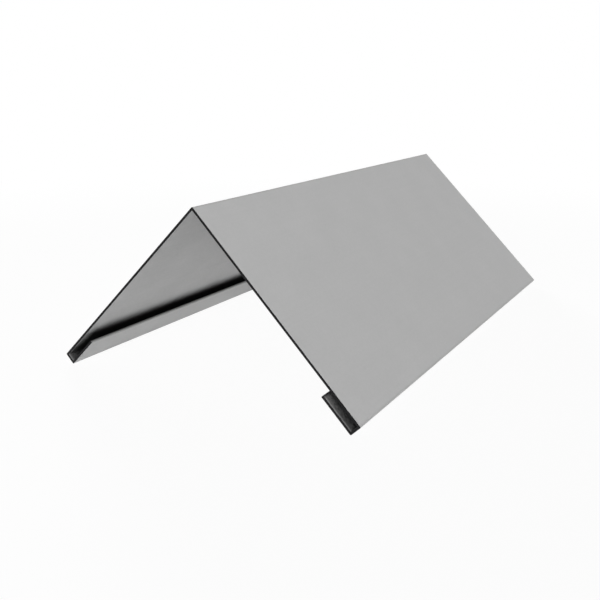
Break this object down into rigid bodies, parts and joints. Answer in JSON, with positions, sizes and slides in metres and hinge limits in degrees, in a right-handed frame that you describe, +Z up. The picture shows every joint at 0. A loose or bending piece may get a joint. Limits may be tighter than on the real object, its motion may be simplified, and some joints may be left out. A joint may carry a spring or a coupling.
{
  "type": "ridge cap",
  "caption": "Folded sheet-metal ridge cap with two equal slopes at a right angle and a return lip that makes a hooked channel along each eave.",
  "frame": {"origin": "on the ground, below the middle of the ridge, where the cap stands on its two lowest folds", "axes": "+Y along the ridge, +Z up, the slopes fall to +X and -X"},
  "size_m": [0.2326, 0.385, 0.1224],
  "materials": {
    "coated_sheet": "satin"
  },
  "bodies": {
    "root": {"ridge_cap": "coated_sheet"}
  },
  "joints": []
}
